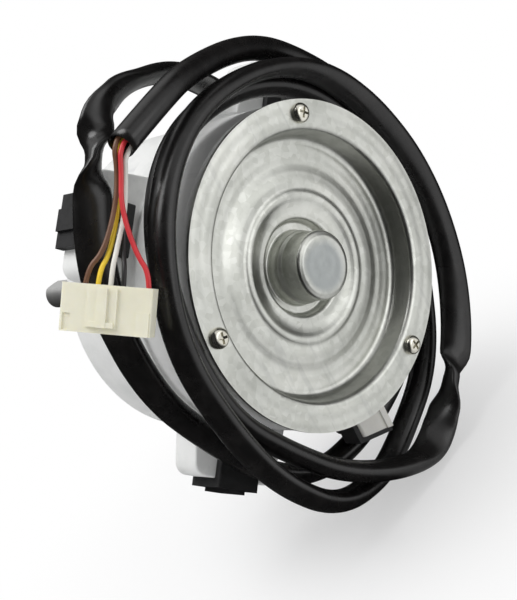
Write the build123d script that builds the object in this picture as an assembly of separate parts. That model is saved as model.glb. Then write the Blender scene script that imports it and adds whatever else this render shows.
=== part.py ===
from build123d import *
import math
import os

# Fan motor: a resin-moulded body on four rubber-cushioned lugs, a pressed steel cover whose
# blind boss holds the front bearing, a long shaft out of the rear, and a sleeved lead wound
# loosely round the body that ends in a seven-way connector.
# Millimetres. +Y runs along the shaft, from the cover towards the shaft's driven end, +Z is up,
# and the origin is on the shaft's axis in the plane of the rubber feet's seating faces.
# Angles are read round the shaft from +Z towards +X.

# Overall layout along the shaft
cover_to_seat = 29.0        # from the cover's front face to the feet's seating plane
seat_to_body_end = 46.0     # from the seating plane to the body's rear face
seat_to_shaft_end = 141.0   # from the seating plane to the shaft's far end

# Pressed cover
cover_radius = 58.0
sheet = 1.2
recess_radius = 47.6        # inner edge of the cover's flat flange
recess_draft = 1.8          # how far the recess wall leans in
recess_depth = 9.2
floor_step_radius = 36.5
floor_step = 1.3
step_slope = 4.4            # each press step runs over this much radius
ridge_radius = 25.6
ridge_height = 1.1
groove_radius = 21.8
well_radius = 17.0
well_depth = 12.8
boss_rise = 2.2             # boss's flat face in front of the flange
boss_face_radius = 10.2
cover_screw_circle = 53.0
cover_screw_angles = (25.0, 155.7, 275.5)
screw_radius = 2.0
screw_head_radius = 3.6
screw_head_height = 2.5
screw_length = 12.0
screw_hole_clearance = 0.25
screw_turn = 1.7            # each screw's cross is turned by this times its angle

# Moulded body
body_radius = 57.3
body_draft = 0.7            # the body's rear is this much smaller in radius
rim_step = 1.6              # shadow gap behind the cover's rim, in radius
rim_step_depth = 2.6
rear_edge_fillet = 3.0
rear_wall = 15.0
hub_radius = 22.0
hub_rise = 4.0
collar_height = 1.5         # band round the body that carries the lugs
body_wall = 9.3             # resin round the stator core
core_length = 28.0
core_front = -4.0
board_lip = 1.4             # the circuit board's edge past the core's, in radius

# Lugs and rubber feet
lug_angles = (45.0, 135.0, 225.0, 315.0)
lug_names = ("upper_right", "lower_right", "lower_left", "upper_left")
lug_thickness = 12.0
lug_reach = 19.0            # the lug's tip stands this far out of the body
lug_root_half = 20.5
lug_tip_half = 18.2
lug_corner = 5.0
mount_edge = 10.3           # from the fixing hole's centre to the lug's tip
mount_hole_radius = 2.75
foot_wall = 2.4
foot_half = 9.3
foot_inside = 6.0           # rubber inside the fixing hole's centre
foot_cap = 3.2              # rubber beyond the lug's tip
foot_pad = 1.4              # central pad, proud of the cap
foot_pad_half = 3.8
foot_tail = 0.4             # rubber past the lug's rear face

# Rotor, bearings and shaft
shaft_radius = 6.0
front_journal_radius = 4.0
shaft_chamfer = 1.0
flat_depth = 1.3
flat_length = 32.0
front_bearing_radius = 11.0
front_bearing_width = 7.0
rear_bearing_radius = 16.0
rear_bearing_width = 10.0
bearing_ring = 1.65             # radial thickness of a bearing ring
shield_inset = 0.2
shield_thickness = 0.4
bearing_shield_gap = 0.15
ball_gap = 0.04
washer_height = 0.8
magnet_wall = 4.0
magnet_length = 34.0
air_gap = 0.6
core_teeth = 12
tooth_half = 3.6
tooth_tip = 2.4
tooth_length = 10.0
core_back = 7.0                 # radial thickness of the core's back iron
slot_opening = 2.6
coil_wall = 3.4
coil_clearance = 0.25
clip_thickness = 1.0
clip_depth = 0.8
clip_rim = 2.2
clip_gap = 5.2
slinger_gap = 0.5               # between the body's hub and the slinger
slinger_height = 1.8
slinger_brim = 7.2
slinger_wall = 2.4
relief_width = 0.6              # groove in the shaft beside the slinger, where the driven end begins
relief_depth = 0.3

# Circuit board
board_thickness = 1.6
board_bore_radius = 20.0
board_front = -13.0
module_width = 32.0
module_height = 13.0
module_thickness = 4.0
sensor_width = 4.0
sensor_height = 3.5
sensor_thickness = 1.5
sensor_angles = (60.0, 80.0, 100.0)

# Lead outlet
outlet_angle = 183.4
outlet_tilt = -3.2              # the bush leans this far round the shaft from radial
bush_half = 7.2
bush_front = -20.5
bush_rear = -8.0
bush_reach = 11.9               # the bush stands this far out of the body
bush_slant = 0.354              # its end face gains this much reach per millimetre of width
bush_root = 6.8                 # it is held this deep in the body
bush_rib = 2.6
seal_wall = 2.2
seal_root = 3.0                 # the seal's leg starts this far out of the body
seal_depth = 8.0

# Lead
sleeve_radius = 4.75
wire_radius = 0.8

# Connector
pitch = 3.96
ways = 7
wired_ways = (2, 3, 4, 5, 7)
connector_height = 14.6
connector_depth = 8.6
connector_centre = (-83.8, -30.5, 36.5)
connector_row = (0.50, -0.73, -0.47)
connector_face = (-0.636, -0.675, 0.374)

cover_face = -cover_to_seat
body_front = cover_face + sheet
body_end = seat_to_body_end
lug_front = foot_wall
lug_rear = lug_front + lug_thickness
lug_tip_radius = body_radius + lug_reach
mount_circle = lug_tip_radius - mount_edge
core_radius = body_radius - body_wall
board_radius = core_radius + board_lip
magnet_radius = core_radius - core_back - tooth_length - tooth_tip - air_gap
boss_radius = front_bearing_radius + sheet
boss_face = cover_face - boss_rise
hub_face = body_end + hub_rise
rear_seat = hub_face - 2.0

# The lead's route: angle round the shaft, distance from it and place along it, as it lies.
sleeve_route = [
    (182.5, 64.0, -8.0), (182.5, 64.0, 4.0), (176.5, 67.0, 18.5), (162.0, 69.0, 27.0),
    (134.0, 69.5, 27.0), (102.0, 69.0, 26.0), (68.0, 69.0, 25.0), (31.0, 71.5, 24.0),
    (4.5, 81.2, 5.0), (339.5, 93.2, -8.5), (326.3, 90.0, -10.5), (299.3, 83.0, -11.0),
    (269.8, 74.8, -11.0), (244.5, 69.5, -11.0), (215.0, 75.0, -7.0), (189.0, 79.5, -0.5),
    (163.0, 74.5, -5.0), (134.0, 68.0, -12.5), (103.0, 67.5, -12.5), (71.0, 67.5, -12.5),
    (40.0, 67.5, -14.0), (10.0, 67.5, -17.5), (344.0, 66.8, -18.5), (316.5, 65.0, -25.0),
    (287.0, 66.6, -27.0), (254.0, 66.6, -27.5), (228.5, 65.8, -28.5), (209.5, 71.8, -30.5),
    (189.5, 80.5, -28.5), (175.0, 91.0, -27.0), (160.0, 85.0, -26.0), (142.5, 81.0, -25.0),
    (117.5, 75.5, -23.5), (91.0, 72.5, -21.5), (62.5, 70.5, -21.5), (35.5, 71.5, -24.5),
    (7.5, 71.5, -28.5), (340.0, 74.5, -30.5), (312.5, 75.5, -34.5), (281.5, 75.0, -35.5),
    (252.0, 73.5, -35.0), (230.5, 77.5, -31.5), (208.0, 85.0, -25.5), (187.1, 86.0, -17.0),
    (173.0, 86.0, -11.0), (148.5, 83.5, -9.5), (121.0, 76.0, -6.5), (90.0, 75.5, -6.5),
    (60.0, 78.0, -9.8), (34.5, 79.0, -11.0), (15.0, 79.5, -19.0), (352.0, 82.5, -27.5),
    (339.0, 86.0, -32.0), (325.0, 92.0, -32.5),
]

# Each wire: its place across the sleeve's mouth, the way it enters, and its free points between.
mouth_depth = 5.0           # the wires are drawn from this far inside the sleeve's mouth
mouth_lead = 1.5
way_lead = 4.0
wire_end = 2.5
wires = {
    "wire_brown": ((-0.2, -2.7), 2, [(-57.5, -31.7, 69.8), (-64.3, -31.7, 61.1), (-74.9, -29.8, 51.4)]),
    "wire_yellow": ((1.4, -0.1), 3, [(-56.7, -30.4, 68.5), (-63.7, -30.4, 58.8), (-73.6, -29.7, 49.6)]),
    "wire_white": ((-1.5, 2.1), 4, [(-56.1, -32.7, 67.8), (-62.3, -32.2, 58.4), (-72.8, -32.1, 49.5)]),
    "wire_black": ((0.6, 2.5), 5, [(-55.7, -29.7, 66.4), (-62.6, -30.1, 56.7), (-71.1, -32.4, 47.4)]),
    "wire_red": ((-1.6, -0.8), 7, [(-57.6, -33.7, 69.5), (-64.6, -34.0, 60.2), (-70.1, -37.4, 47.0)]),
}


def around(angle, radius, along):
    turn = math.radians(angle)
    return Vector(radius * math.sin(turn), along, radius * math.cos(turn))


def turned(profile):
    return revolve(profile, Axis.Y, 360)


def ring(outer, inner, start, end):
    return turned(make_face(Polyline((inner, start), (outer, start), (outer, end), (inner, end), close=True)))


def drum(radius, start, end):
    return Plane.XZ.offset(-start) * extrude(Circle(radius), -(end - start))


def placed(angle, shape):
    return Rot(0, angle, 0) * shape


def block(half_width, inner, outer, start, end):
    size = (2 * half_width, end - start, outer - inner)
    return Pos(0, (start + end) / 2, (inner + outer) / 2) * Box(*size)


def pin_hole(angle, radius, circle, start, end):
    centre = around(angle, circle, 0)
    return Pos(centre.X, 0, centre.Z) * drum(radius, start, end)


def end_cover():
    floor = cover_face + recess_depth
    well = cover_face + well_depth
    points = [
        (cover_radius, cover_face), (recess_radius, cover_face), (recess_radius - recess_draft, floor),
        (floor_step_radius, floor), (floor_step_radius - step_slope, floor - floor_step),
        (ridge_radius + step_slope / 2, floor - floor_step), (ridge_radius, floor - floor_step - ridge_height),
        (groove_radius, floor - 0.2), (well_radius + 0.4, floor - 0.2), (well_radius - 0.6, well),
        (boss_radius + 1.0, well), (boss_radius + 0.8, cover_face + 8.0),
        (boss_radius, cover_face + 6.6), (boss_radius, cover_face - 1.3),
        (boss_face_radius, boss_face), (0, boss_face),
    ]
    radii = [2.2, 2.6, 12.0, 12.0, 3.0, 3.0, 6.0, 1.5, 1.0, 0.8, 1.6, 1.6, 1.4, 1.6]
    front = Wire(FilletPolyline(*points, radius=radii).edges())
    skin = turned(make_face(front.offset_2d(sheet, side=Side.RIGHT, closed=True)))
    for angle in cover_screw_angles:
        hole_radius = screw_radius + screw_hole_clearance
        skin -= pin_hole(angle, hole_radius, cover_screw_circle, cover_face - 1, body_front + 1)
    return skin


def cover_screw(angle):
    head = drum(screw_head_radius, cover_face - screw_head_height, cover_face)
    head = fillet(head.faces().sort_by(Axis.Y)[0].edges(), screw_head_height * 0.75)
    shank = drum(screw_radius, cover_face, cover_face - 0.01 + screw_length)
    recess = Pos(0, cover_face - screw_head_height, 0) * (Box(4.0, 2.6, 0.9) + Box(0.9, 2.6, 4.0))
    centre = around(angle, cover_screw_circle, 0)
    return Pos(centre.X, 0, centre.Z) * (head + shank - Rot(0, angle * screw_turn, 0) * recess)


def body_shell():
    rim = cover_radius - rim_step
    band = body_radius + collar_height
    lip = rear_bearing_radius - 2.5
    inside = board_radius + 0.2
    points = [
        (inside, body_front), (rim, body_front), (rim, body_front + rim_step_depth),
        (body_radius, body_front + rim_step_depth + 0.9), (body_radius, lug_front), (band, lug_front),
        (band, lug_rear), (body_radius - 0.3, lug_rear), (body_radius - body_draft, body_end),
        (hub_radius + 1.5, body_end), (hub_radius, hub_face), (lip, hub_face), (lip, rear_seat),
        (rear_bearing_radius, rear_seat), (rear_bearing_radius, body_end - rear_wall),
        (core_radius, body_end - rear_wall), (core_radius, board_front + board_thickness),
        (inside, board_front + board_thickness),
    ]
    radii = [0, 0.5, 0.8, 0.6, 0.9, 0.5, 0.5, 0.9, rear_edge_fillet, 1.5, 1.2, 0.4, 0, 0, 0, 2.0, 0, 0]
    return turned(make_face(FilletPolyline(*points, radius=radii, close=True)))


def lug():
    root = body_radius - 5
    outline = Polyline(
        (-lug_root_half, root), (lug_root_half, root), (lug_root_half, body_radius),
        (lug_tip_half, lug_tip_radius), (-lug_tip_half, lug_tip_radius), (-lug_root_half, body_radius), close=True)
    plate = Pos(0, lug_front, 0) * (Plane.XZ * extrude(make_face(outline), -lug_thickness))
    tip_edges = plate.edges().filter_by(Axis.Y).group_by(Axis.Z)[-1]
    plate = fillet(tip_edges, lug_corner)
    rims = [e for e in plate.edges().filter_by(GeomType.CIRCLE) + plate.edges().filter_by(GeomType.LINE)
            if abs(e.center().Y - lug_front) < 0.01 or abs(e.center().Y - lug_rear) < 0.01]
    rims = [e for e in rims if e.center().Z > body_radius]
    return fillet(rims, 0.8)


def outlet_frame():
    pivot = around(outlet_angle, body_radius, 0)
    return Pos(pivot.X, 0, pivot.Z) * Rot(0, outlet_angle + outlet_tilt, 0)


def bush_end(x):
    return bush_reach - bush_slant * x


def bush_cutter():
    side = bush_half + 2
    outline = Polyline((-side, bush_end(-side)), (side, bush_end(side)), (side, 30), (-side, 30), close=True)
    return Pos(0, bush_front - 5, 0) * (Plane.XZ * extrude(make_face(outline), -30))


def bush_shape(grow=0.0):
    furthest = bush_end(-bush_half)
    shape = block(bush_half + grow, -bush_root, furthest, bush_front - grow, bush_rear + grow)
    if grow:
        return outlet_frame() * shape
    shape = fillet(shape.edges().filter_by(Axis.Z), 1.2)
    rib = block(bush_rib / 2, 0.8, furthest, bush_front - 0.8, bush_front + bush_rib)
    return outlet_frame() * (shape + Pos(-bush_half + bush_rib / 2 + 0.4, 0, 0) * rib - bush_cutter())


def motor_body():
    body = body_shell()
    for angle in lug_angles:
        body += placed(angle, lug())
        body -= pin_hole(angle, mount_hole_radius, mount_circle, lug_front - 5, lug_rear + 5)
    for angle in cover_screw_angles:
        body -= pin_hole(angle, screw_radius + 0.05, cover_screw_circle, body_front - 1, body_front + screw_length)
    return body - bush_shape(0.15)


def rubber_foot():
    cap_radius = lug_tip_radius + foot_cap
    foot = block(foot_half, mount_circle - foot_inside, cap_radius, 0, foot_wall)
    foot += block(foot_half, lug_tip_radius, cap_radius, 0, lug_rear + foot_tail)
    foot = fillet(foot.edges().filter_by(Axis.Z).group_by(Axis.Y)[0], 0.8)
    foot += block(foot_pad_half, cap_radius - 0.5, cap_radius + foot_pad, 0.8, lug_rear - 0.4)
    return foot - pin_hole(0, mount_hole_radius, mount_circle, -1, foot_wall + 1)


def cable_bush():
    return bush_shape()


def cable_seal():
    side = bush_half + seal_wall
    outline = Polyline(
        (bush_half, seal_root), (side, seal_root), (side, bush_end(side) + seal_wall),
        (-bush_half, bush_end(-bush_half) + seal_wall), (-bush_half, bush_end(-bush_half)),
        (bush_half, bush_end(bush_half)), close=True)
    strip = Plane.XZ * extrude(make_face(outline), -seal_depth)
    return outlet_frame() * Pos(0, bush_front + 1.0, 0) * strip


def cable_grommet():
    start, ahead = sleeve_points()[:2]
    along = (ahead - start).normalized()
    collar = Plane(origin=start, z_dir=along) * (Cylinder(sleeve_radius + 1.4, 4.0) - Cylinder(sleeve_radius, 4.0))
    return Pos(along * 2.0) * collar


def stator_core():
    bore = magnet_radius + air_gap
    start, end = core_front, core_front + core_length
    core = ring(core_radius, core_radius - core_back, start, end) + ring(bore + tooth_tip, bore, start, end)
    half_pitch = 180 / core_teeth
    for k in range(core_teeth):
        angle = 2 * half_pitch * k
        core += placed(angle, block(tooth_half, bore + 1, core_radius - core_back + 1, start, end))
        core -= placed(angle + half_pitch, block(slot_opening / 2, bore - 1, bore + tooth_tip + 1, start - 1, end + 1))
    return core


def stator_coil(angle):
    inner = magnet_radius + air_gap + tooth_tip + coil_clearance
    hole_half = tooth_half + coil_clearance
    half = hole_half + coil_wall
    outer = math.sqrt((core_radius - core_back) ** 2 - half ** 2) - coil_clearance
    start, end = core_front - coil_clearance, core_front + core_length + coil_clearance
    coil = block(half, inner, outer, start - coil_wall, end + coil_wall)
    coil = fillet(coil.edges().filter_by(Axis.Z), coil_wall * 0.8)
    return placed(angle, coil - block(hole_half, inner - 1, outer + 1, start, end))


def bearing(bore, outer, start, width):
    race_out = outer - bearing_ring
    race_in = bore + bearing_ring
    pitch_radius = (race_out + race_in) / 2
    ball = (race_out - race_in) / 2 + 0.35
    middle = start + width / 2
    groove = turned(Pos(pitch_radius, middle, 0) * Circle(ball + ball_gap))
    outer_ring = ring(outer, race_out, start, start + width) - groove
    for shield_start in (start + shield_inset, start + width - shield_inset - shield_thickness):
        shield_end = shield_start + shield_thickness
        outer_ring += ring(race_out + 0.1, race_in + bearing_shield_gap, shield_start, shield_end)
    inner_ring = ring(race_in, bore, start, start + width) - groove
    balls = [Pos(around(360 / 7 * k, pitch_radius, middle)) * Sphere(ball) for k in range(7)]
    return outer_ring, inner_ring, Compound(balls)


def motor_shaft():
    step = front_bearing_start() + front_bearing_width
    tip = front_bearing_start() + 0.1
    end = seat_to_shaft_end
    points = [
        (0, tip), (front_journal_radius - 0.4, tip), (front_journal_radius, tip + 0.4), (front_journal_radius, step),
        (shaft_radius, step), (shaft_radius, end - shaft_chamfer), (shaft_radius - shaft_chamfer, end), (0, end),
    ]
    bar = turned(make_face(Polyline(*points, close=True)))
    flat = block(shaft_radius + 1, shaft_radius - flat_depth, shaft_radius + 1, end - flat_length, end + 1)
    for start in clip_places():
        bar -= ring(shaft_radius + 1, shaft_radius - clip_depth, start, start + clip_thickness)
    relief = slinger_place()[1]
    bar -= ring(shaft_radius + 1, shaft_radius - relief_depth, relief, relief + relief_width)
    return bar - flat


def slinger_place():
    start = hub_face + slinger_gap
    return start, start + slinger_height


def clip_places():
    return [rear_seat - rear_bearing_width - clip_thickness - 0.05, rear_seat + 0.05]


def retaining_clip(start):
    clip = ring(shaft_radius + clip_rim, shaft_radius - clip_depth, start, start + clip_thickness)
    return clip - block(clip_gap / 2, 0, shaft_radius + clip_rim + 1, start - 1, start + clip_thickness + 1)


def rotor_span():
    middle = core_front + core_length / 2
    return middle - magnet_length / 2, middle + magnet_length / 2


def rotor_core():
    start, end = rotor_span()
    rim = magnet_radius - magnet_wall
    points = [
        (shaft_radius, start - 2), (shaft_radius + 5, start - 2), (shaft_radius + 5, start + 8), (rim - 4, start + 8),
        (rim - 4, start), (rim, start), (rim, end), (rim - 4, end), (rim - 4, end - 8),
        (shaft_radius + 5, end - 8), (shaft_radius + 5, end + 2), (shaft_radius, end + 2),
    ]
    core = turned(make_face(Polyline(*points, close=True)))
    for k in range(6):
        core -= pin_hole(60 * k, 3.2, (shaft_radius + rim) / 2 + 0.5, start, end)
    return core


def rotor_magnet():
    start, end = rotor_span()
    return ring(magnet_radius, magnet_radius - magnet_wall, start, end)


def shaft_slinger():
    start, end = slinger_place()
    brim, neck = shaft_radius + slinger_brim, shaft_radius + slinger_wall
    points = [(shaft_radius, start), (brim - 0.6, start), (brim, start + slinger_height * 0.4),
              (neck, start + slinger_height * 0.6), (neck, end), (shaft_radius, end)]
    return turned(make_face(Polyline(*points, close=True)))


def front_bearing_start():
    return boss_face + sheet + washer_height


def preload_washer():
    outer = boss_face_radius - 0.5
    return ring(outer, outer - 2.6, boss_face + sheet, front_bearing_start())


def circuit_board():
    board = ring(board_radius, board_bore_radius, board_front, board_front + board_thickness)
    return board - outlet_notch()


def outlet_notch():
    inner = body_radius - bush_root - 4
    return placed(outlet_angle, block(bush_half + 2, inner, board_radius + 1, board_front - 1, board_front + 3))


def driver_module():
    outer = core_radius - core_back - 2.0
    case = block(module_width / 2, outer - module_height, outer, board_front - module_thickness, board_front)
    return fillet(case.edges().filter_by(Axis.Y), 1.0)


def hall_sensor(angle):
    rear = board_front + board_thickness
    inner = magnet_radius - sensor_height
    return placed(angle, block(sensor_width / 2, inner, magnet_radius, rear, rear + sensor_thickness))


def sleeve_points():
    return [around(*place) for place in sleeve_route]


def tube(points, radius):
    turns = [180 - (a - b).get_angle(c - b) for a, b, c in zip(points, points[1:], points[2:])]
    runs = [(b - a).length for a, b in zip(points, points[1:])]
    radii = [0.45 * min(before, after) / math.tan(math.radians(turn) / 2)
             for before, after, turn in zip(runs, runs[1:], turns)]
    path = FilletPolyline(*points, radius=radii)
    section = Plane(origin=points[0], z_dir=points[1] - points[0]) * Circle(radius)
    solid = sweep(section, path=path)
    expected = math.pi * radius ** 2 * path.length
    print("tube length %.0f volume ratio %.4f smallest radius %.1f sharpest turn %.0f" % (
        path.length, solid.volume / expected, min(radii), max(turns)))
    print("  radii", [round(r) for r in radii])
    print("  runs", [round(r) for r in runs])
    return solid


def cable_sleeve():
    return tube(sleeve_points(), sleeve_radius)


def connector_plane():
    return Plane(origin=connector_centre, x_dir=connector_row, z_dir=connector_face)


def way_place(way):
    return (way - (ways + 1) / 2) * pitch


def connector_housing():
    width = ways * pitch
    top = connector_height / 2
    front = connector_depth / 2
    shell = Box(width, connector_height, connector_depth)
    shell = fillet(shell.edges().filter_by(Axis.Y), 0.4)
    shell += Pos(-1.2, 0.4, front + 0.4) * Box(9.2, 11.8, 0.8)
    shell += Pos(-1.0, 0.4, front + 1.0) * Box(3.0, 11.8, 1.4)
    shell += Pos(-1.0, -4.6, front + 0.9) * Box(7.6, 1.6, 1.4)
    shell += Pos(width / 2 - 2.4, -top + 3.6, front + 0.4) * Box(3.8, 7.2, 0.8)
    shell -= Pos(-width / 2 + 2.0, -top + 3.0, front) * Box(2.4, 5.0, 1.0)
    for way in range(1, ways + 1):
        shell -= Pos(way_place(way), (wire_end - top) / 2, 0) * Box(2.7, wire_end + top, 2.9)
        shell -= Pos(way_place(way), top, 0) * Rot(90, 0, 0) * Cylinder(wire_radius + 0.5, 2 * (top - wire_end))
    return connector_plane() * shell


def connector_terminals():
    top = connector_height / 2
    pins = []
    for way in wired_ways:
        socket = Box(2.5, wire_end + top - 1.4, 2.7) - Pos(0, -1.5, 0) * Box(1.6, wire_end + top - 1.4, 1.6)
        pins.append(connector_plane() * Pos(way_place(way), (wire_end - top + 1.4) / 2, 0) * socket)
    return Compound(pins)


def wire(offset, way, free_points):
    mouth, before = sleeve_points()[-1], sleeve_points()[-2]
    ahead = (mouth - before).normalized()
    opening = Plane(origin=mouth, x_dir=(0, 1, 0), z_dir=ahead)
    start = opening.from_local_coords(Vector(*offset, -mouth_depth))
    lead = opening.from_local_coords(Vector(*offset, mouth_lead))
    entry = connector_plane()
    place = way_place(way)
    end = entry.from_local_coords(Vector(place, wire_end, 0))
    above = entry.from_local_coords(Vector(place, connector_height / 2 + way_lead, 0))
    points = [start, lead, *[Vector(*point) for point in free_points], above, end]
    return tube(points, wire_radius)


def save(name, shape):
    solids = shape.solids()
    export_step(solids[0] if len(solids) == 1 else Compound(solids), f"parts/{name}.step")


def main():
    os.makedirs("parts", exist_ok=True)
    save("end_cover", end_cover())
    save("cover_screws", Compound([cover_screw(angle) for angle in cover_screw_angles]))
    save("motor_body", motor_body())
    for name, angle in zip(lug_names, lug_angles):
        save(f"rubber_foot_{name}", placed(angle, rubber_foot()))
    save("cable_bush", cable_bush())
    save("cable_seal", cable_seal())
    save("cable_grommet", cable_grommet())
    save("stator_core", stator_core())
    save("stator_coils", Compound([stator_coil(360 / core_teeth * k) for k in range(core_teeth)]))
    bearings = {
        "front": (front_journal_radius, front_bearing_radius, front_bearing_start(), front_bearing_width),
        "rear": (shaft_radius, rear_bearing_radius, rear_seat - rear_bearing_width, rear_bearing_width),
    }
    for side, sizes in bearings.items():
        outer_ring, inner_ring, balls = bearing(*sizes)
        save(f"{side}_bearing_outer_ring", outer_ring)
        save(f"{side}_bearing_inner_ring", inner_ring)
        save(f"{side}_bearing_balls", balls)
    save("preload_washer", preload_washer())
    save("motor_shaft", motor_shaft())
    for side, start in zip(("inner", "outer"), clip_places()):
        save(f"retaining_clip_{side}", retaining_clip(start))
    save("shaft_slinger", shaft_slinger())
    save("rotor_core", rotor_core())
    save("rotor_magnet", rotor_magnet())
    save("circuit_board", circuit_board())
    save("driver_module", driver_module())
    save("hall_sensors", Compound([hall_sensor(angle) for angle in sensor_angles]))
    save("cable_sleeve", cable_sleeve())
    for name, (offset, way, free_points) in wires.items():
        save(name, wire(offset, way, free_points))
    save("connector_housing", connector_housing())
    save("connector_terminals", connector_terminals())


main()
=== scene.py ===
import math

import bpy
from mathutils import Matrix, Vector

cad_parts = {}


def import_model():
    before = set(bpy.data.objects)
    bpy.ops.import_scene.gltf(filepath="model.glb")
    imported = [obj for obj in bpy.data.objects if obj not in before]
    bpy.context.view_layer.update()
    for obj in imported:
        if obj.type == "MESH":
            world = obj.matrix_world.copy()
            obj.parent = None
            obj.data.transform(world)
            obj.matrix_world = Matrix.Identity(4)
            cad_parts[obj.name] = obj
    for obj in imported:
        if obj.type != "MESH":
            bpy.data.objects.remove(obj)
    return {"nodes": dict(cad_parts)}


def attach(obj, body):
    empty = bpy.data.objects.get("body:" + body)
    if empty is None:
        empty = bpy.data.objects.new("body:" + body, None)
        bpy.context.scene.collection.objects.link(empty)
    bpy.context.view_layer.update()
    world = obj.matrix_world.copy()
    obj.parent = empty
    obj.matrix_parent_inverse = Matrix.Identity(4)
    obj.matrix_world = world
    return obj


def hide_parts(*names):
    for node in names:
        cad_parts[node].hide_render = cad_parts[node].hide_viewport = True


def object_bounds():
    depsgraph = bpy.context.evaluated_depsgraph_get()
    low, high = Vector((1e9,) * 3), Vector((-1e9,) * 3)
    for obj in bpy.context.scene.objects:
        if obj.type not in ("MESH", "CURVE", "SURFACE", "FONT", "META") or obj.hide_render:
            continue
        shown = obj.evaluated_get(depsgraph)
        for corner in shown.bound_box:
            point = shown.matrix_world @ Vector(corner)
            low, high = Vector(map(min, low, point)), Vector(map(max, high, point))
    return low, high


# A fan motor seen from its cover's side: pressed steel cover, white moulded body, rubber feet, and
# a limp black sleeve wound loosely round it that ends in five wires and an ivory connector.
# Metres. +Y runs along the shaft from the cover, +Z is up, the origin is on the shaft's axis.

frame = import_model()
nodes = frame["nodes"]
cad_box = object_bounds()

# Camera, at the photograph's viewing angle
CAMERA_PLACE = Vector((-0.27861, -0.35361, 0.14498))
CAMERA_RIGHT = Vector((0.6122, -0.6562, -0.4411))
CAMERA_UP = Vector((0.5438, -0.0556, 0.8374))
CAMERA_LENS = 78.0
CAMERA_SENSOR = 36.0
CAMERA_CLIP = (0.01, 100.0)

# Lead: the sleeve's route as (angle round the shaft from +Z towards +X, distance from it, place
# along it). The points are those of the rigid model's tube, but for numbers 10, 11, 13, 22, 23, 29
# and 30, counted from 0, which are moved so that the limp sleeve lies as in the photograph.
SLEEVE_DIAMETER = 0.0095
SLEEVE_WALL = 0.0006
SLEEVE_SIDES = 28
MOUTH_DEPTH = 0.012
CURVE_ORDER = 3
CURVE_STEPS = 12
CURVE_ROUNDNESS = 5
SLEEVE_ROUTE = [
    (182.5, 0.064, -0.008), (182.5, 0.064, 0.004), (176.5, 0.067, 0.0185),
    (162.0, 0.069, 0.027), (134.0, 0.0695, 0.027), (102.0, 0.069, 0.026), (68.0, 0.069, 0.025),
    (31.0, 0.0715, 0.024), (4.5, 0.0812, 0.005), (339.5, 0.0932, -0.0085),
    (326.5, 0.089, -0.0114), (299.3, 0.0825, -0.0114), (269.8, 0.0748, -0.011),
    (244.5, 0.0694, -0.011), (215.0, 0.075, -0.007), (189.0, 0.0795, -0.0005),
    (163.0, 0.0745, -0.005), (134.0, 0.068, -0.0125), (103.0, 0.0675, -0.0125),
    (71.0, 0.0675, -0.0125), (40.0, 0.0675, -0.014), (10.0, 0.0675, -0.0175),
    (342.3, 0.0691, -0.0185), (316.0, 0.0692, -0.0235), (287.0, 0.0666, -0.027),
    (254.0, 0.0666, -0.0275), (228.5, 0.0658, -0.0285), (209.5, 0.0718, -0.0305),
    (189.5, 0.0805, -0.0285), (175.0, 0.0893, -0.027), (160.0, 0.0838, -0.026),
    (142.5, 0.081, -0.025), (117.5, 0.0755, -0.0235), (91.0, 0.0725, -0.0215),
    (62.5, 0.0705, -0.0215), (35.5, 0.0715, -0.0245), (7.5, 0.0715, -0.0285),
    (340.0, 0.0745, -0.0305), (312.5, 0.0755, -0.0345), (281.5, 0.075, -0.0355),
    (252.0, 0.0735, -0.035), (230.5, 0.0775, -0.0315), (208.0, 0.085, -0.0255),
    (187.1, 0.086, -0.017), (173.0, 0.086, -0.011), (148.5, 0.0835, -0.0095),
    (121.0, 0.076, -0.0065), (90.0, 0.0755, -0.0065), (60.0, 0.078, -0.0098),
    (34.5, 0.079, -0.011), (15.0, 0.0795, -0.019), (352.0, 0.0825, -0.0275),
    (339.0, 0.086, -0.032), (325.0, 0.092, -0.0325),
]
# Where the limp sleeve lies flat: (route point's number, how flat from 0 to 1, roll in degrees)
SLEEVE_FLATS = [
    (0, 0.0, 0), (3, 0.15, 0), (7, 0.1, 0), (8.4, 0.35, 12), (9.0, 0.5, 55), (9.45, 0.5, 96),
    (9.95, 0.42, 209), (10.35, 0.6, 292), (10.9, 0.5, 300), (11.6, 0.2, 320), (12.6, 0.1, 340),
    (14, 0.15, 360), (21, 0.1, 360), (28.4, 0.2, 375), (29.4, 0.55, 405), (29.8, 0.6, 380),
    (30.35, 0.35, 322), (30.8, 0.5, 240), (32.4, 0.15, 235), (36, 0.3, 180), (38, 0.15, 180),
    (53, 0.08, 180),
]

# Wires: the rigid model's own points. Each has its place across the sleeve's mouth, the way it
# enters in the connector, and its free points between.
WIRE_DIAMETER = 0.0016
WIRE_INSIDE = 0.005
MOUTH_LEAD = 0.0015
WAY_LEAD = 0.004
WIRE_END = 0.0025
WIRES = {
    "wire_brown": ((-0.0002, -0.0027), 2, [
        (-0.0575, -0.0317, 0.0698), (-0.0643, -0.0317, 0.0611), (-0.0749, -0.0298, 0.0514)]),
    "wire_yellow": ((0.0014, -0.0001), 3, [
        (-0.0567, -0.0304, 0.0685), (-0.0637, -0.0304, 0.0588), (-0.0736, -0.0297, 0.0496)]),
    "wire_white": ((-0.0015, 0.0021), 4, [
        (-0.0561, -0.0327, 0.0678), (-0.0623, -0.0322, 0.0584), (-0.0728, -0.0321, 0.0495)]),
    "wire_black": ((0.0006, 0.0025), 5, [
        (-0.0557, -0.0297, 0.0664), (-0.0626, -0.0301, 0.0567), (-0.0711, -0.0324, 0.0474)]),
    "wire_red": ((-0.0016, -0.0008), 7, [
        (-0.0576, -0.0337, 0.0695), (-0.0646, -0.034, 0.0602), (-0.0701, -0.0374, 0.047)]),
}
CONNECTOR_CENTRE = (-0.0838, -0.0305, 0.0365)
CONNECTOR_ROW = (0.50, -0.73, -0.47)
CONNECTOR_FACE = (-0.636, -0.675, 0.374)
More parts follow.
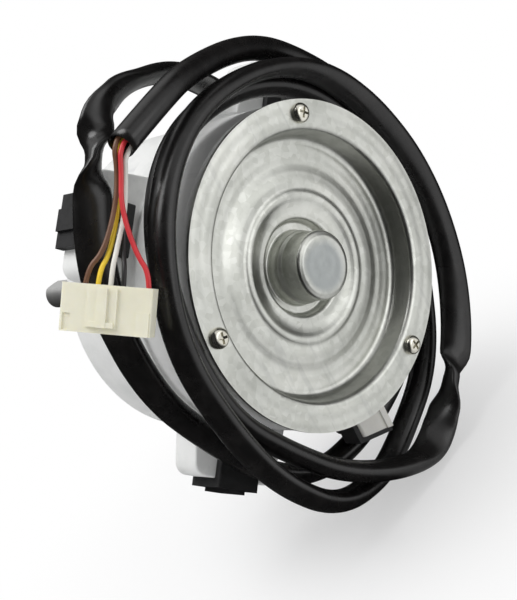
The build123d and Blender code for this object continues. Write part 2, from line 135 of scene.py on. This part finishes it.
CONNECTOR_HEIGHT = 0.0146
PITCH = 0.00396
WAYS = 7

# The cover's bands of painted shade, in metres from the shaft's axis: the boss's darker face, the
# recess wall's foot and its top, each as (where it starts to change, where it is done)
BOSS_EDGE = (0.0070, 0.0100)
WALL_FOOT = (0.0445, 0.0460)
WALL_TOP = (0.0472, 0.0486)
RAGGED = 0.0015
RING_WAVES = 1500.0

# The part of its range that a noise mostly fills
NOISE = (0.3, 0.7)

# A Mix node's sockets: its factor, its two numbers and its two colours
FACTOR, NUMBERS, COLOURS = 0, (2, 3), (6, 7)

# What shiny surfaces meet: a bright stretch ahead and to the right, a bright top, dim elsewhere.
# Edges are cosines from the middle, strengths are 1 for white.
BRIGHT_STRETCH = (0.42, -0.907, 0.0)
STRETCH_EDGES = (0.70, 0.97)
DIM = 0.02
TOP_MIDDLE = (0.10, 0.43, 0.90)
TOP_EDGES = (0.72, 0.94)
TENT_EVEN = 0.55
TENT_SEEN = 0.85

# The floor turns white between these distances from the origin, and is partly white before them
FLOOR_FADE = (0.08, 0.20)
FLOOR_LIFT = 0.45
FLOOR_TONE = (0.86, 0.86, 0.865)
FLOOR_ROUGHNESS = 0.7
FLOOR_REACH = 20.0
FLOOR_GAP = 0.001

# Lamps: name, place, diameter and watts, each turned to the origin
LAMPS = [
    ("key", (-0.30, 0.10, 1.00), 0.8, 7.5),
    ("fill", (0.30, -1.00, 0.10), 0.9, 1.8),
]


def around(angle, radius, along):
    """A point from its angle round the shaft, its distance from the axis and its place along it."""
    turn = math.radians(angle)
    return Vector((radius * math.sin(turn), along, radius * math.cos(turn)))


def plane(origin, x_direction, z_direction):
    """The turn and shift from the world to a plane with this origin, x direction and normal."""
    z = Vector(z_direction).normalized()
    x = Vector(x_direction)
    x = (x - z * x.dot(z)).normalized()
    return Matrix.Translation(origin) @ Matrix((x, z.cross(x), z)).transposed().to_4x4()


class Nodes:
    """A node tree, with short ways to add the usual nodes."""

    def __init__(self, tree):
        self.tree = tree

    def node(self, kind, **settings):
        made = self.tree.nodes.new(kind)
        for key, value in settings.items():
            setattr(made, key, value)
        return made

    def put(self, socket, value):
        """Feed a socket from another one, or with a number, a vector or a colour."""
        if isinstance(value, bpy.types.NodeSocket):
            self.tree.links.new(value, socket)
        elif isinstance(value, tuple) and socket.type == "RGBA":
            socket.default_value = (*value, 1.0)
        else:
            socket.default_value = value

    def mix(self, factor, first, second):
        """One number passing into another."""
        made = self.node("ShaderNodeMix")
        for index, value in zip((FACTOR, *NUMBERS), (factor, first, second)):
            self.put(made.inputs[index], value)
        return made.outputs[0]

    def blend(self, factor, first, second, kind="MIX"):
        """One colour passing into another."""
        made = self.node("ShaderNodeMix", data_type="RGBA", blend_type=kind)
        for index, value in zip((FACTOR, *COLOURS), (factor, first, second)):
            self.put(made.inputs[index], value)
        return made.outputs[2]

    def math(self, operation, first, second=0.0):
        made = self.node("ShaderNodeMath", operation=operation)
        self.put(made.inputs[0], first)
        self.put(made.inputs[1], second)
        return made.outputs[0]

    def vector(self, operation, first, second=(0.0, 0.0, 0.0), out="Vector"):
        made = self.node("ShaderNodeVectorMath", operation=operation)
        self.put(made.inputs[0], first)
        self.put(made.inputs[1], second)
        return made.outputs[out]

    def range(self, value, low, high, from_low=0.0, from_high=1.0, kind="LINEAR"):
        """A value from one range into another, held at its ends."""
        made = self.node("ShaderNodeMapRange", interpolation_type=kind)
        for socket, number in zip(made.inputs, (value, from_low, from_high, low, high)):
            self.put(socket, number)
        return made.outputs[0]


class Paint(Nodes):
    """A material made of nodes, placed by the piece's own coordinates."""

    def __init__(self, name, **sockets):
        self.material = bpy.data.materials.new(name)
        self.material.use_nodes = True
        super().__init__(self.material.node_tree)
        self.shader = self.tree.nodes["Principled BSDF"]
        self.place = self.node("ShaderNodeTexCoord").outputs["Object"]
        for socket, value in sockets.items():
            self.put(self.shader.inputs[socket], value)

    def stretched(self, scale):
        mapping = self.node("ShaderNodeMapping")
        self.put(mapping.inputs["Scale"], scale)
        self.put(mapping.inputs["Vector"], self.place)
        return mapping.outputs["Vector"]

    def noise(self, scale, detail=4.0, roughness=0.55, place=None):
        made = self.node("ShaderNodeTexNoise")
        self.put(made.inputs["Scale"], scale)
        self.put(made.inputs["Detail"], detail)
        self.put(made.inputs["Roughness"], roughness)
        self.put(made.inputs["Vector"], place or self.place)
        return made.outputs["Fac"]

    def cells(self, scale):
        made = self.node("ShaderNodeTexVoronoi", feature="F1")
        self.put(made.inputs["Scale"], scale)
        self.put(made.inputs["Vector"], self.place)
        split = self.node("ShaderNodeSeparateColor")
        self.put(split.inputs[0], made.outputs["Color"])
        return split.outputs[0]

    def ramp(self, factor, *stops):
        made = self.node("ShaderNodeValToRGB")
        elements = made.color_ramp.elements
        while len(elements) < len(stops):
            elements.new(0.5)
        for element, (position, colour) in zip(elements, stops):
            element.position = position
            element.color = (*colour, 1.0)
        self.put(made.inputs["Fac"], factor)
        return made.outputs["Color"]

    def flecks(self, factor, low, high):
        """Black below one value, white above the other."""
        return self.ramp(factor, (low, (0, 0, 0)), (high, (1, 1, 1)))

    def from_axis(self):
        """Distance from the shaft's axis."""
        split = self.node("ShaderNodeSeparateXYZ")
        self.put(split.inputs[0], self.place)
        across, up = (self.math("POWER", split.outputs[k], 2.0) for k in (0, 2))
        return self.math("SQRT", self.math("ADD", across, up))

    def colour(self, out):
        self.put(self.shader.inputs["Base Color"], out)

    def rough(self, out, low, high):
        """Roughness between two values, following a noise."""
        self.put(self.shader.inputs["Roughness"], self.range(out, low, high, *NOISE))

    def bump(self, height, strength, distance):
        """Relief, added to what is there already."""
        made = self.node("ShaderNodeBump")
        normal = self.shader.inputs["Normal"]
        self.put(made.inputs["Strength"], strength)
        self.put(made.inputs["Distance"], distance)
        self.put(made.inputs["Height"], height)
        if normal.links:
            self.put(made.inputs["Normal"], normal.links[0].from_socket)
        self.put(normal, made.outputs["Normal"])


def galvanised():
    """Zinc-coated sheet: spangle, clouds, handling marks, faint press rings, painted shade on the
    boss face and the recess wall.
    """
    paint = Paint("galvanised_steel", Metallic=1.0)
    clouds = paint.noise(38.0, detail=6.0)
    zinc = paint.ramp(clouds, (0.32, (0.50, 0.51, 0.475)), (0.52, (0.62, 0.63, 0.59)),
                      (0.72, (0.72, 0.725, 0.68)))
    zinc = paint.blend(0.20, zinc, paint.cells(420.0), "SOFT_LIGHT")
    scratches = paint.noise(240.0, detail=2.0, place=paint.stretched((1.0, 1.0, 0.06)))
    marks = paint.flecks(scratches, 0.60, 0.66)
    zinc = paint.blend(paint.math("MULTIPLY", marks, 0.22), zinc, (0.36, 0.37, 0.36))
    paint.rough(paint.noise(90.0, detail=5.0), 0.29, 0.40)
    radius = paint.from_axis()
    ragged = paint.math("ADD", radius, paint.range(clouds, -RAGGED, RAGGED, *NOISE))
    # Painted shade: the boss face is darkened to a bluish grey inside a ragged edge.
    boss_shade = paint.range(ragged, 0.75, 0.0, *BOSS_EDGE)
    zinc = paint.blend(boss_shade, zinc, (0.33, 0.355, 0.365))
    # Painted shade: the recess wall, between its foot and its top, is darkened towards dark grey.
    wall_shade = paint.math("MULTIPLY", paint.range(radius, 0.0, 1.0, *WALL_FOOT),
                      paint.range(radius, 1.0, 0.0, *WALL_TOP))
    paint.colour(paint.blend(paint.math("MULTIPLY", wall_shade, 0.45), zinc, (0.20, 0.20, 0.19)))
    paint.bump(paint.math("SINE", paint.math("MULTIPLY", radius, RING_WAVES)), 0.10, 0.0004)
    paint.bump(paint.noise(700.0, detail=3.0), 0.10, 0.0002)
    return paint.material


def plated(name, low, high, roughness):
    """Plated or ground steel with faint cloudiness."""
    paint = Paint(name, Metallic=1.0)
    paint.colour(paint.ramp(paint.noise(300.0), (0.3, low), (0.7, high)))
    paint.rough(paint.noise(510.0), roughness * 0.8, roughness * 1.25)
    paint.bump(paint.noise(900.0), 0.06, 0.0002)
    return paint.material


def ground_shaft():
    """Ground bar: fine turning marks round the shaft."""
    paint = Paint("shaft_steel", Metallic=1.0)
    lines = paint.noise(60.0, detail=3.0, place=paint.stretched((0.5, 60.0, 0.5)))
    paint.colour(paint.ramp(lines, (0.3, (0.70, 0.70, 0.69)), (0.7, (0.84, 0.84, 0.83))))
    paint.rough(lines, 0.48, 0.62)
    paint.bump(lines, 0.12, 0.0001)
    return paint.material


def resin():
    """White moulding compound: matte, slightly mottled, with pale grey scuffs."""
    paint = Paint("white_resin", IOR=1.48)
    mottle = paint.noise(55.0, detail=7.0, roughness=0.6)
    base = paint.ramp(mottle, (0.34, (0.70, 0.71, 0.70)), (0.56, (0.80, 0.805, 0.795)))
    scuffs = paint.noise(120.0, detail=3.0, place=paint.stretched((1.0, 0.12, 1.0)))
    marks = paint.math("MULTIPLY", paint.flecks(scuffs, 0.62, 0.70), 0.35)
    paint.colour(paint.blend(marks, base, (0.52, 0.53, 0.54)))
    paint.rough(mottle, 0.48, 0.66)
    paint.bump(paint.noise(900.0, detail=4.0), 0.12, 0.0002)
    return paint.material


def vinyl():
    """Black sleeve: soft gloss, fine wrinkles along it and faint dust."""
    paint = Paint("sleeve_vinyl", IOR=1.5)
    dust = paint.noise(160.0, detail=6.0, roughness=0.7)
    paint.colour(paint.ramp(dust, (0.45, (0.006, 0.0055, 0.0055)), (0.80, (0.016, 0.0145, 0.014))))
    paint.rough(paint.noise(75.0, detail=4.0), 0.22, 0.34)
    paint.bump(paint.noise(260.0, detail=3.0), 0.12, 0.0004)
    return paint.material


def rubber(name, tone, roughness):
    """Matte rubber: grain, with the high spots greyer."""
    paint = Paint(name, IOR=1.48)
    grain = paint.noise(420.0, detail=5.0, roughness=0.65)
    low, high = (tone, tone, tone * 1.04), (tone * 2.2, tone * 2.2, tone * 2.3)
    paint.colour(paint.ramp(grain, (0.35, low), (0.75, high)))
    paint.rough(grain, roughness * 0.85, roughness * 1.15)
    paint.bump(grain, 0.25, 0.0003)
    return paint.material


def moulded(name, low, high, roughness, glow=0.0):
    """Moulded plastic with faint colour variation, and some light inside it where asked."""
    paint = Paint(name, IOR=1.5)
    flow = paint.noise(90.0, detail=4.0)
    paint.colour(paint.ramp(flow, (0.3, low), (0.7, high)))
    paint.rough(flow, roughness * 0.85, roughness * 1.15)
    paint.bump(paint.noise(800.0, detail=3.0), 0.05, 0.0002)
    if glow:
        paint.put(paint.shader.inputs["Subsurface Weight"], glow)
        paint.put(paint.shader.inputs["Subsurface Radius"], (0.9, 0.8, 0.5))
        paint.put(paint.shader.inputs["Subsurface Scale"], 0.002)
    return paint.material


def shade(colour, factor):
    return tuple(part * factor for part in colour)


materials = {
    "galvanised": galvanised(),
    "screw": plated("screw_steel", (0.62, 0.60, 0.52), (0.78, 0.76, 0.68), 0.22),
    "resin": resin(),
    "foot": rubber("foot_rubber", 0.012, 0.62),
    "seal": rubber("seal_rubber", 0.014, 0.7),
    "bush": moulded("bush_plastic", (0.66, 0.65, 0.61), (0.76, 0.75, 0.71), 0.45, 0.1),
    "vinyl": vinyl(),
    "ivory": moulded("ivory_plastic", (0.80, 0.775, 0.62), (0.86, 0.84, 0.70), 0.36, 0.25),
    "terminal": plated("terminal_tin", (0.60, 0.56, 0.44), (0.74, 0.70, 0.56), 0.3),
    "shaft": ground_shaft(),
    "bearing": plated("bearing_steel", (0.55, 0.56, 0.57), (0.68, 0.69, 0.70), 0.25),
    "core": plated("core_steel", (0.20, 0.205, 0.215), (0.34, 0.345, 0.355), 0.5),
    "copper": plated("coil_copper", (0.50, 0.22, 0.09), (0.66, 0.32, 0.15), 0.38),
    "magnet": moulded("magnet_ferrite", (0.05, 0.05, 0.055), (0.09, 0.09, 0.095), 0.6),
    "board": moulded("board_green", (0.03, 0.14, 0.06), (0.05, 0.20, 0.09), 0.4),
    "chip": moulded("chip_black", (0.012, 0.012, 0.014), (0.03, 0.03, 0.032), 0.5),
}
WIRE_COLOURS = {
    "wire_brown": (0.16, 0.075, 0.04), "wire_yellow": (0.80, 0.56, 0.03),
    "wire_white": (0.78, 0.77, 0.72), "wire_black": (0.014, 0.013, 0.013),
    "wire_red": (0.62, 0.035, 0.045),
}
for name, tone in WIRE_COLOURS.items():
    materials[name] = moulded(name + "_vinyl", shade(tone, 0.85), shade(tone, 1.1), 0.38)

NODE_LOOKS = {
    "end_cover": "galvanised", "cover_screws": "screw", "motor_body": "resin",
    "rubber_foot_upper_right": "foot", "rubber_foot_lower_right": "foot",
    "rubber_foot_lower_left": "foot", "rubber_foot_upper_left": "foot",
    "cable_bush": "bush", "cable_seal": "seal", "cable_grommet": "seal",
    "stator_core": "core", "stator_coils": "copper", "preload_washer": "bearing",
    "motor_shaft": "shaft", "retaining_clip_inner": "bearing", "retaining_clip_outer": "bearing",
    "shaft_slinger": "foot", "rotor_core": "core", "rotor_magnet": "magnet",
    "circuit_board": "board", "driver_module": "chip", "hall_sensors": "chip",
    "connector_housing": "ivory", "connector_terminals": "terminal",
}
for side in ("front", "rear"):
    for part in ("outer_ring", "inner_ring", "balls"):
        NODE_LOOKS[f"{side}_bearing_{part}"] = "bearing"


def dress(piece, look):
    piece.data.materials.clear()
    piece.data.materials.append(materials[look])


for name, look in NODE_LOOKS.items():
    dress(nodes[name], look)


def nurbs(name, points, bevel=0.0):
    """A smooth curve with the route's points as its control points."""
    curve = bpy.data.curves.new(name, "CURVE")
    curve.dimensions = "3D"
    spline = curve.splines.new("NURBS")
    spline.points.add(len(points) - 1)
    for place, point in zip(spline.points, points):
        place.co = (*point, 1.0)
    spline.order_u = CURVE_ORDER
    spline.use_endpoint_u = True
    spline.resolution_u = CURVE_STEPS
    curve.bevel_depth = bevel
    curve.bevel_resolution = CURVE_ROUNDNESS
    curve.use_fill_caps = True
    piece = bpy.data.objects.new(name, curve)
    bpy.context.scene.collection.objects.link(piece)
    return piece


def line_of(points):
    """Points along the route's smooth curve, in order."""
    piece = nurbs("route_line", points)
    mesh = bpy.data.meshes.new_from_object(piece)
    line = [vertex.co.copy() for vertex in mesh.vertices]
    bpy.data.objects.remove(piece)
    bpy.data.meshes.remove(mesh)
    return line


def flat_at(number):
    """Flatness and roll at a route point's number, eased between the listed ones."""
    for (low, *before), (high, *after) in zip(SLEEVE_FLATS, SLEEVE_FLATS[1:]):
        if number <= high:
            t = (number - low) / (high - low)
            t = t * t * (3 - 2 * t)
            return [first + (second - first) * t for first, second in zip(before, after)]
    return SLEEVE_FLATS[-1][1:]


def section(radius, centre, outward, across, flat, roll):
    """One ring of the sleeve: round, or pressed flat with its girth kept."""
    thick = radius * (1 - flat)
    wide = math.sqrt(2 * radius ** 2 - thick ** 2)
    turn = math.radians(roll)
    normal = outward * math.cos(turn) + across * math.sin(turn)
    side = across * math.cos(turn) - outward * math.sin(turn)
    ring = []
    for k in range(SLEEVE_SIDES):
        angle = 2 * math.pi * k / SLEEVE_SIDES
        ring.append(centre + side * (wide * math.cos(angle)) + normal * (thick * math.sin(angle)))
    return ring


def skin(name, rings):
    """A closed tube through the rings, capped at both ends."""
    vertices = [point for ring in rings for point in ring]
    faces = []
    for row in range(0, len(vertices) - SLEEVE_SIDES, SLEEVE_SIDES):
        for k in range(SLEEVE_SIDES):
            a, b = row + k, row + (k + 1) % SLEEVE_SIDES
            faces.append((a, b, b + SLEEVE_SIDES, a + SLEEVE_SIDES))
    faces.append(tuple(reversed(range(SLEEVE_SIDES))))
    faces.append(tuple(range(len(vertices) - SLEEVE_SIDES, len(vertices))))
    mesh = bpy.data.meshes.new(name)
    mesh.from_pydata(vertices, [], faces)
    for polygon in mesh.polygons:
        polygon.use_smooth = len(polygon.vertices) == 4
    mesh.update()
    piece = bpy.data.objects.new(name, mesh)
    bpy.context.scene.collection.objects.link(piece)
    return piece


def sleeve():
    """The sleeve's skin, which turns in at the mouth, with its route's points and its line."""
    points = [around(*place) for place in SLEEVE_ROUTE]
    line = line_of(points)
    last = len(line) - 1
    spans = len(points) - 2
    radius = SLEEVE_DIAMETER / 2
    places = []
    for k, centre in enumerate(line):
        ahead = (line[min(k + 1, last)] - line[max(k - 1, 0)]).normalized()
        outward = Vector((centre.x, 0, centre.z))
        outward = (outward - ahead * outward.dot(ahead)).normalized()
        number = k / last * spans + 0.5
        places.append((centre, outward, ahead.cross(outward), *flat_at(number)))
    rings = [section(radius, *place) for place in places]
    depth = 0.0
    back = last
    while depth < MOUTH_DEPTH:
        rings.append(section(radius - SLEEVE_WALL, *places[back]))
        depth += (line[back] - line[back - 1]).length
        back -= 1
    return skin("sleeve", rings), points, line


sleeve_piece, sleeve_points, sleeve_line = sleeve()
dress(sleeve_piece, "vinyl")
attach(sleeve_piece, "stator")
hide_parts("cable_sleeve")

out_of_mouth = (sleeve_points[-1] - sleeve_points[-2]).normalized()
mouth_plane = plane(sleeve_points[-1], (0, 1, 0), out_of_mouth)
connector = plane(CONNECTOR_CENTRE, CONNECTOR_ROW, CONNECTOR_FACE)
for name, (offset, way, free_points) in WIRES.items():
    start = mouth_plane @ Vector((*offset, 0))
    place = (way - (WAYS + 1) / 2) * PITCH
    points = [start - out_of_mouth * WIRE_INSIDE, start + out_of_mouth * MOUTH_LEAD]
    points += [Vector(point) for point in free_points]
    points.append(connector @ Vector((place, CONNECTOR_HEIGHT / 2 + WAY_LEAD, 0)))
    points.append(connector @ Vector((place, WIRE_END, 0)))
    wire = nurbs(name + "_lead", points, WIRE_DIAMETER / 2)
    dress(wire, name)
    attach(wire, "stator")
    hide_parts(name)


def stretch(made, direction):
    """How far a direction lies in the bright stretch, from dim to one."""
    level = made.vector("MULTIPLY", direction, (1.0, 1.0, 0.0))
    level = made.vector("NORMALIZE", level)
    along = made.vector("DOT_PRODUCT", level, BRIGHT_STRETCH, "Value")
    return made.range(along, DIM, 1.0, *STRETCH_EDGES, "SMOOTHSTEP")


def floor():
    """A pale plane under the object that fades to white away from it, seen or mirrored."""
    reach, level = FLOOR_REACH, cad_box[0].z - FLOOR_GAP
    mesh = bpy.data.meshes.new("floor")
    corners = [(-reach, -reach), (reach, -reach), (reach, reach), (-reach, reach)]
    mesh.from_pydata([(*corner, level) for corner in corners], [], [(0, 1, 2, 3)])
    piece = bpy.data.objects.new("floor", mesh)
    bpy.context.scene.collection.objects.link(piece)
    paint = Paint("floor_white", Roughness=FLOOR_ROUGHNESS)
    rays = paint.node("ShaderNodeLightPath").outputs
    mirrored = rays["Is Glossy Ray"]
    bright = stretch(paint, paint.place)
    paint.colour(paint.blend(mirrored, FLOOR_TONE, bright, "MULTIPLY"))
    white = paint.node("ShaderNodeEmission")
    paint.put(white.inputs["Strength"], paint.mix(mirrored, 1.0, bright))
    distance = paint.vector("LENGTH", paint.place, out="Value")
    lift = paint.math("MULTIPLY", rays["Is Camera Ray"], FLOOR_LIFT)
    fade = paint.range(distance, lift, 1.0, *FLOOR_FADE, "SMOOTHSTEP")
    seen = paint.math("MAXIMUM", rays["Is Camera Ray"], mirrored)
    mixed = paint.node("ShaderNodeMixShader")
    paint.put(mixed.inputs[0], paint.math("MULTIPLY", fade, seen))
    paint.put(mixed.inputs[1], paint.shader.outputs[0])
    paint.put(mixed.inputs[2], white.outputs[0])
    paint.put(paint.tree.nodes["Material Output"].inputs["Surface"], mixed.outputs[0])
    mesh.materials.append(paint.material)


def lamp(name, place, size, power):
    data = bpy.data.lights.new(name, "AREA")
    data.shape = "DISK"
    data.size = size
    data.energy = power
    piece = bpy.data.objects.new(name, data)
    bpy.context.scene.collection.objects.link(piece)
    piece.location = place
    piece.rotation_mode = "QUATERNION"
    piece.rotation_quaternion = (-Vector(place)).to_track_quat("-Z", "Y")


def world():
    """White for the camera and an even tent for soft light; shiny surfaces meet the bright parts."""
    made = bpy.data.worlds.new("studio")
    made.use_nodes = True
    tent = Nodes(made.node_tree)
    background = tent.tree.nodes["Background"]
    tent.put(background.inputs["Color"], (1.0, 1.0, 1.0))
    direction = tent.node("ShaderNodeTexCoord").outputs["Generated"]
    rays = tent.node("ShaderNodeLightPath").outputs
    height = tent.vector("DOT_PRODUCT", direction, TOP_MIDDLE, "Value")
    top = tent.range(height, 0.0, 1.0, *TOP_EDGES, "SMOOTHSTEP")
    bright = tent.math("MAXIMUM", top, stretch(tent, direction))
    mirrored = tent.math("MULTIPLY", bright, TENT_SEEN)
    unseen = tent.mix(rays["Is Glossy Ray"], TENT_EVEN, mirrored)
    tent.put(background.inputs["Strength"], tent.mix(rays["Is Camera Ray"], unseen, 1.0))
    bpy.context.scene.world = made


def camera():
    data = bpy.data.cameras.new("camera")
    data.lens = CAMERA_LENS
    data.sensor_width = CAMERA_SENSOR
    data.clip_start, data.clip_end = CAMERA_CLIP
    piece = bpy.data.objects.new("camera", data)
    bpy.context.scene.collection.objects.link(piece)
    back = CAMERA_RIGHT.cross(CAMERA_UP)
    turn = Matrix((CAMERA_RIGHT, CAMERA_UP, back)).transposed().to_4x4()
    piece.matrix_world = Matrix.Translation(CAMERA_PLACE) @ turn
    bpy.context.scene.camera = piece


floor()
for settings in LAMPS:
    lamp(*settings)
world()
camera()
bpy.context.scene.view_settings.view_transform = "Standard"
